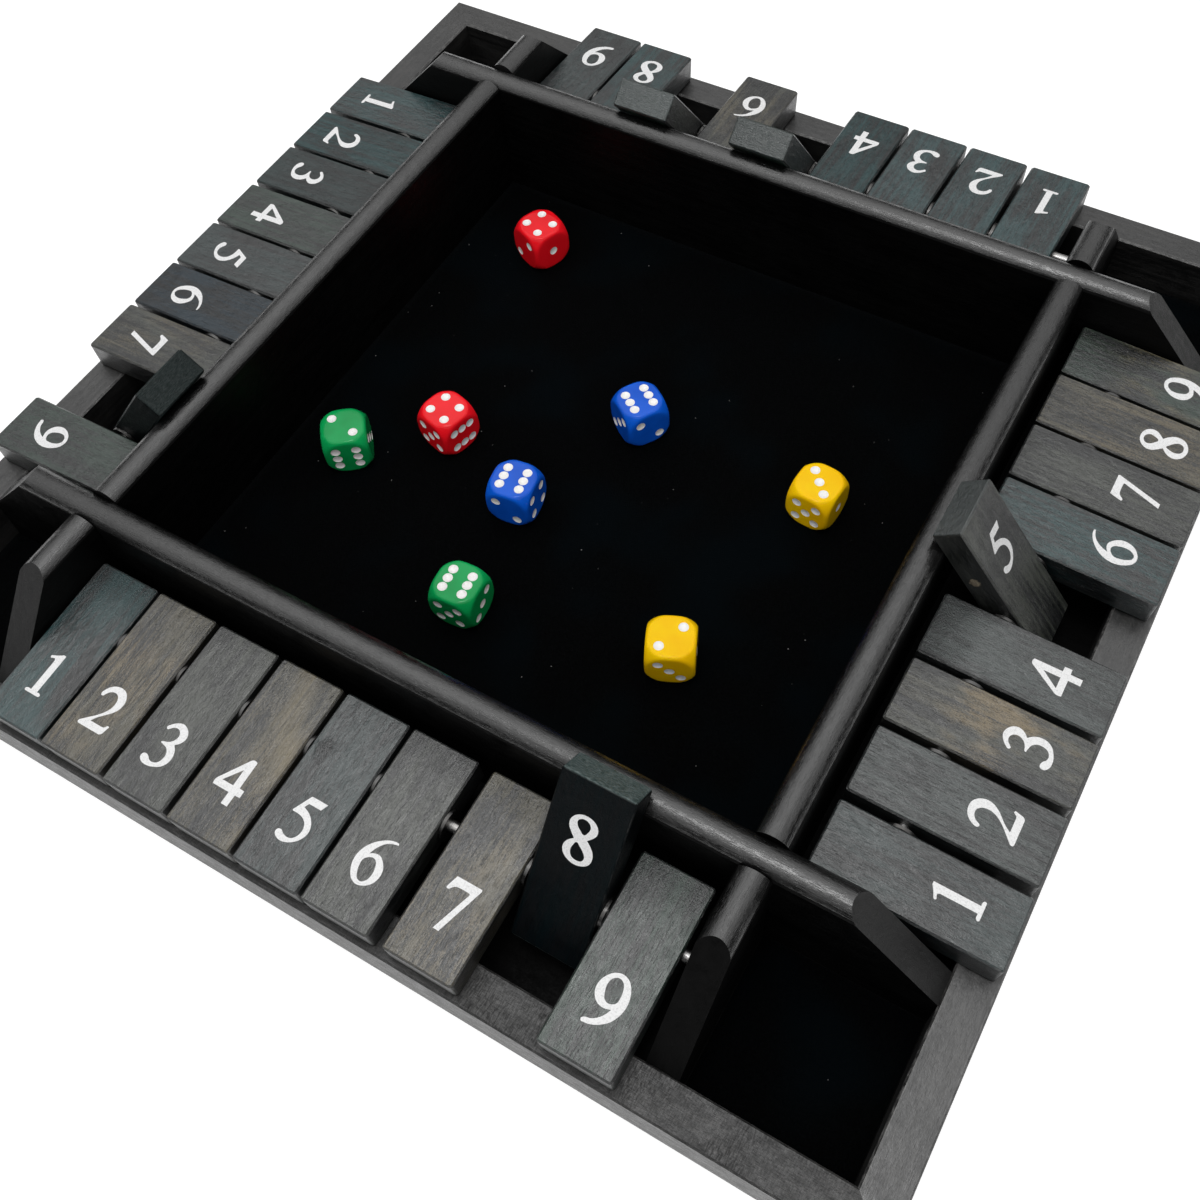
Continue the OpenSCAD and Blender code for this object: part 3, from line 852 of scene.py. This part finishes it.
def felt_slab(bm, low, high, cell, seed):
    """A felt with soft edges and a faint wave, from corner to corner, in millimetres."""
    counts = [max(4, round((high[i] - low[i]) / cell)) for i in (0, 1)]
    top, bottom = [], []
    for i in range(counts[0] + 1):
        top.append([])
        bottom.append([])
        for j in range(counts[1] + 1):
            x = low[0] + (high[0] - low[0]) * i / counts[0]
            y = low[1] + (high[1] - low[1]) * j / counts[1]
            rim = min(i, j, counts[0] - i, counts[1] - j)
            wave = 0.04 * noise.noise(Vector((x, y, seed)) * 0.06)
            drop = 0.25 if rim == 0 else 0.0
            top[-1].append(bm.verts.new((x * MM, y * MM, (FLOOR_Z - 0.05 + wave - drop) * MM)))
            bottom[-1].append(bm.verts.new((x * MM, y * MM, (PANEL_T + 0.02) * MM)))
    for i in range(counts[0]):
        for j in range(counts[1]):
            bm.faces.new((top[i][j], top[i + 1][j], top[i + 1][j + 1], top[i][j + 1]))
            bm.faces.new((bottom[i][j], bottom[i][j + 1], bottom[i + 1][j + 1], bottom[i + 1][j]))
    rims = [[top[i][0] for i in range(counts[0] + 1)], [bottom[i][0] for i in range(counts[0] + 1)]]
    for grid_row in range(counts[0]):
        bm.faces.new((top[grid_row][0], bottom[grid_row][0], bottom[grid_row + 1][0], top[grid_row + 1][0]))
        bm.faces.new((top[grid_row + 1][-1], bottom[grid_row + 1][-1], bottom[grid_row][-1], top[grid_row][-1]))
    for j in range(counts[1]):
        bm.faces.new((top[0][j + 1], bottom[0][j + 1], bottom[0][j], top[0][j]))
        bm.faces.new((top[-1][j], bottom[-1][j], bottom[-1][j + 1], top[-1][j + 1]))
    bmesh.ops.recalc_face_normals(bm, faces=bm.faces)


def make_felts(felt):
    half = TRAY_HALF - FELT_FIT
    bm = bmesh.new()
    felt_slab(bm, (-half, -half), (half, half), 3.0, 1.0)
    tray = new_object("tray_felt_cloth", bm, [felt])
    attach(tray, "board")
    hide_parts("tray_felt")
    near = TRAY_HALF + DIVIDER_T + FELT_FIT
    far = CHANNEL_HALF - FELT_FIT
    pieces = []
    for i, (sx, sy) in enumerate(((1, -1), (1, 1), (-1, 1), (-1, -1))):
        xs, ys = sorted((sx * near, sx * far)), sorted((sy * near, sy * far))
        bm = bmesh.new()
        felt_slab(bm, (xs[0], ys[0]), (xs[1], ys[1]), 3.0, 7.0 + i)
        well = new_object(f"corner_felt_cloth_{i + 1}", bm, [felt])
        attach(well, "board")
        pieces.append(well)
    for well in pieces:
        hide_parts("corner_felts")


# CAD pieces that keep their mesh

def finish_node(name, material, edge=0.0):
    obj = nodes[name]
    obj.data.materials.clear()
    obj.data.materials.append(material)
    if edge:
        weld = obj.modifiers.new("weld", "WELD")
        weld.merge_threshold = 0.000005
        bevel = obj.modifiers.new("edge", "BEVEL")
        bevel.width = edge * MM
        bevel.segments = 2
        bevel.limit_method = "ANGLE"
        bevel.angle_limit = math.radians(35)
        bevel.harden_normals = False


def finish_divider(side, axis, materials):
    """A copy of a divider's solid, with its own finish on the crown, the sides and the ends. The sides take the darker
    copy of the wood that paints their shade, and the right divider's front end takes it too.
    """
    mesh = nodes[f"{side}_divider"].data.copy()
    mesh.materials.clear()
    for m in materials:
        mesh.materials.append(m)
    for face in mesh.polygons:
        lengthwise = abs(face.normal[axis])
        dark_end = side == "right" and face.normal[axis] < 0
        upright = abs(face.normal.z)
        if face.center.z > SHOULDER_Z * MM and lengthwise < 0.5 and upright > 0.55:
            face.material_index = 0
        elif lengthwise > 0.5 and not dark_end:
            face.material_index = 2
        else:
            # Painted shade: the darker, duller copy of the wood
            face.material_index = 1
    made = bpy.data.objects.new(f"{side}_divider_wood", mesh)
    made.matrix_world = nodes[f"{side}_divider"].matrix_world
    bpy.context.scene.collection.objects.link(made)
    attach(made, "board")
    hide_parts(f"{side}_divider")


def dress_nodes():
    walls = frame_material()
    front_wall = front_material()
    along = [divider_materials(0), divider_materials(1)]
    panel = panel_material()
    rods = [steel_material("rod_steel_x", (6.0, 0.2, 0.2), 0.42), steel_material("rod_steel_y", (0.2, 6.0, 0.2), 0.42)]
    washer = steel_material("washer_steel", (2.0, 2.0, 2.0), 0.11)
    for i, side in enumerate(SIDES):
        finish_node(f"{side}_wall", front_wall if side == "front" else walls)
        finish_divider(side, i % 2, along[i % 2])
        finish_node(f"{side}_rod", rods[i % 2])
    finish_node("base_panel", panel)
    finish_node("spacer_washers", washer)


# Stage and light

# Light from the room outside the lamps, and how bright it is in reflections
ROOM_LIGHT = 0.02
DIM_REFLECTION = 0.08


def background_share(g, reflected=1.0):
    """1 for rays that see the background straight or through glass, and how much of it a
    reflection shows."""
    path = g.node("ShaderNodeLightPath", {}).outputs
    glossy = g.maths("MULTIPLY", path["Is Glossy Ray"], reflected)
    straight = g.maths("MAXIMUM", path["Is Camera Ray"], path["Is Transmission Ray"])
    return g.maths("MAXIMUM", straight, glossy)


FLOOR_HALF = 3.0


def make_floor():
    bm = bmesh.new()
    bmesh.ops.create_grid(bm, x_segments=8, y_segments=8, size=FLOOR_HALF)
    s = Shader("floor_paper")
    tooth = s.noise(s.scaled(s.place(), (0.02, 0.02, 0.02)), 1.0, 2.0)
    s.principled(base_color=s.mix(s.step(tooth, 0.3, 0.7), grey(0.38), grey(0.40)), roughness=0.9, specular_ior_level=0.1)
    far = s.step(s.vector("LENGTH", s.place()), 600.0, 2400.0, 0.78, 1.0)
    glow = s.node("ShaderNodeEmission", {"Color": (1, 1, 1, 1), "Strength": s.maths("MULTIPLY", background_share(s), far)})
    total = s.node("ShaderNodeAddShader", {0: s.surface.outputs[0], 1: glow.outputs[0]})
    output = next(n for n in s.tree.nodes if n.type == "OUTPUT_MATERIAL")
    s.tree.links.new(total.outputs[0], output.inputs["Surface"])
    floor = new_object("floor", bm, [s.material])
    floor.location.z = -0.0002


def area_light(name, at, to, size, power, colour=(1.0, 1.0, 1.0)):
    data = bpy.data.lights.new(name, "AREA")
    data.shape = "RECTANGLE"
    data.size, data.size_y = size
    data.energy = power
    data.color = colour
    lamp = bpy.data.objects.new(name, data)
    lamp.location = at
    lamp.rotation_mode = "QUATERNION"
    lamp.rotation_quaternion = (Vector(at) - Vector(to)).to_track_quat("Z", "Y")
    bpy.context.scene.collection.objects.link(lamp)
    return lamp


def make_light():
    world = bpy.data.worlds.new("room")
    world.use_nodes = True
    backdrop = world.node_tree.nodes["Background"]
    backdrop.inputs["Color"].default_value = (1.0, 1.0, 1.0, 1.0)
    g = Graph(world.node_tree)
    share = g.maths("MAXIMUM", background_share(g, DIM_REFLECTION), ROOM_LIGHT)
    g.fill(backdrop, {"Strength": share})
    bpy.context.scene.world = world
    area_light("ceiling", (-0.2, 0.2, 1.10), (-0.2, 0.2, 0), (3.6, 3.6), 33.5)
    area_light("softbox", (-0.20, 0.14, 1.0), (-0.20, 0.14, 0), (1.15, 1.15), 3.1)
    area_light("key", (0.02, -0.14, 0.98), (0.02, -0.14, 0), (0.25, 0.25), 1.4)
    fill = area_light("fill", (0.45, -1.05, 0.50), (0.0, 0.0, 0.02), (1.2, 0.8), 4.0)
    fill.visible_glossy = False
    view = bpy.context.scene.view_settings
    view.view_transform = "Standard"


make_camera()
dress_nodes()
# The dull copy of the tile wood paints shade on the flipped tiles' undersides
make_tiles(tile_material("tile_wood", 0.9), tile_material("tile_wood_satin", 0.65), tile_material("tile_wood_shaded", 0.10))
make_numerals(numeral_material())
make_dice({
    "red": plastic_material("red_plastic", (0.84, 0.008, 0.016, 1), (0.76, 0.006, 0.012, 1)),
    "blue": plastic_material("blue_plastic", (0.004, 0.10, 0.62, 1), (0.003, 0.08, 0.52, 1)),
    "green": plastic_material("green_plastic", (0.004, 0.33, 0.085, 1), (0.003, 0.27, 0.065, 1)),
    "yellow": plastic_material("yellow_plastic", (0.90, 0.56, 0.002, 1), (0.88, 0.49, 0.002, 1), 0.10),
}, pip_material())
make_felts(felt_material())
make_floor()
make_light()
